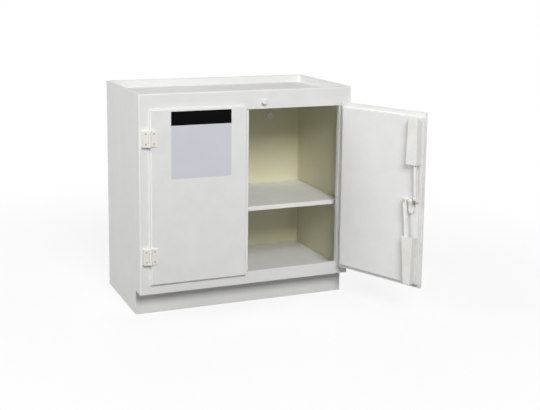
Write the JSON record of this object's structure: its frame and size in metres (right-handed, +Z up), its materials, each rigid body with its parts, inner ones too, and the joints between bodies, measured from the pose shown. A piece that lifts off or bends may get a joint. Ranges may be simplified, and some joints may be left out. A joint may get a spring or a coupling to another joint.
{
  "type": "under-counter safety cabinet",
  "caption": "Welded plastic under-counter cabinet with overlapping hinged doors, an inner shelf, a recessed work top, slide bolts and a three-point rod latch.",
  "frame": {"origin": "on the floor, at the centre of the rectangle that the carcass covers", "axes": "X to the right seen from the front, Y to the back, Z up; the right door stands open 112.8 degrees and the left door is shut"},
  "size_m": [1.0446, 0.9335, 0.9017],
  "materials": {
    "carcass_sheet": "satin",
    "door_sheet": "satin",
    "hinge_plastic": "satin",
    "screw_plastic": "satin",
    "cap_plastic": "gloss",
    "latch_plastic": "satin",
    "pin_plastic": "satin"
  },
  "bodies": {
    "cabinet": {"side_panel_left": "carcass_sheet", "side_panel_right": "carcass_sheet", "back_panel": "carcass_sheet", "base_panel": "carcass_sheet", "toe_board": "carcass_sheet", "worktop_panel": "carcass_sheet", "face_frame": "carcass_sheet", "corner_post_left": "carcass_sheet", "corner_post_right": "carcass_sheet", "stile_screws": "screw_plastic", "stile_screw_caps": "cap_plastic", "shelf": "carcass_sheet", "shelf_cleat_left": "carcass_sheet", "shelf_cleat_right": "carcass_sheet", "shelf_cleat_rear": "carcass_sheet", "vent_bushing": "cap_plastic", "vent_cap": "cap_plastic", "header_stud": "cap_plastic", "header_stud_nut": "cap_plastic", "left_upper_hinge_packer": "carcass_sheet", "right_upper_hinge_packer": "carcass_sheet", "left_upper_frame_leaf": "hinge_plastic", "right_upper_frame_leaf": "hinge_plastic", "left_lower_hinge_packer": "carcass_sheet", "right_lower_hinge_packer": "carcass_sheet", "left_lower_frame_leaf": "hinge_plastic", "right_lower_frame_leaf": "hinge_plastic", "hinge_pins": "hinge_plastic", "frame_leaf_screws": "screw_plastic"},
    "left_door": {"left_door_outer_panel": "door_sheet", "left_door_inner_panel": "door_sheet", "left_upper_door_leaf": "hinge_plastic", "left_lower_door_leaf": "hinge_plastic", "left_door_leaf_screws": "screw_plastic", "upper_bolt_housing": "latch_plastic", "lower_bolt_housing": "latch_plastic", "bolt_housing_screws": "screw_plastic"},
    "right_door": {"right_door_outer_panel": "door_sheet", "right_door_inner_panel": "door_sheet", "right_upper_door_leaf": "hinge_plastic", "right_lower_door_leaf": "hinge_plastic", "right_door_leaf_screws": "screw_plastic", "spindle_bush": "latch_plastic", "handle_rose": "latch_plastic", "rose_screws": "screw_plastic", "cam_washer": "latch_plastic", "upper_rod_guide": "latch_plastic", "lower_rod_guide": "latch_plastic"},
    "upper_bolt": {"upper_slide_bolt": "latch_plastic"},
    "lower_bolt": {"lower_slide_bolt": "latch_plastic"},
    "latch": {"latch_cam": "latch_plastic", "spindle": "latch_plastic", "lever_handle": "latch_plastic", "cam_screw": "pin_plastic", "lever_screw": "pin_plastic", "crank_pins": "pin_plastic"},
    "upper_latch_rod": {"upper_rod": "latch_plastic"},
    "lower_latch_rod": {"lower_rod": "latch_plastic"}
  },
  "joints": [
    {"name": "left_door_swing", "type": "hinge", "parent": "cabinet", "child": "left_door", "pos_m": [-0.4175, -0.2722, 0.493], "axis": [0, 0, -1], "range_deg": [0, 170]},
    {"name": "right_door_swing", "type": "hinge", "parent": "cabinet", "child": "right_door", "pos_m": [0.4175, -0.2722, 0.493], "axis": [0, 0, 1], "range_deg": [-112.8, 57.2]},
    {"name": "upper_bolt_slide", "type": "slide", "parent": "left_door", "child": "upper_bolt", "axis": [0, 0, 1], "range_m": [0, 0.022]},
    {"name": "lower_bolt_slide", "type": "slide", "parent": "left_door", "child": "lower_bolt", "axis": [0, 0, -1], "range_m": [0, 0.022]},
    {"name": "latch_turn", "type": "hinge", "parent": "right_door", "child": "latch", "pos_m": [0.53763, -0.63771, 0.492], "axis": [-0.9219, -0.3875, 0], "range_deg": [0, 90]},
    {"name": "upper_rod_pivot", "type": "hinge", "parent": "latch", "child": "upper_latch_rod", "pos_m": [0.53286, -0.66792, 0.492], "axis": [-0.9219, -0.3875, 0], "range_deg": [-94.74, 0]},
    {"name": "lower_rod_pivot", "type": "hinge", "parent": "latch", "child": "lower_latch_rod", "pos_m": [0.51271, -0.61998, 0.492], "axis": [-0.9219, -0.3875, 0], "range_deg": [-94.33, 0]}
  ],
  "couplings": [
    {"joint": "upper_rod_pivot", "follows": "latch_turn", "ratio": -1.0526},
    {"joint": "lower_rod_pivot", "follows": "latch_turn", "ratio": -1.0481}
  ]
}
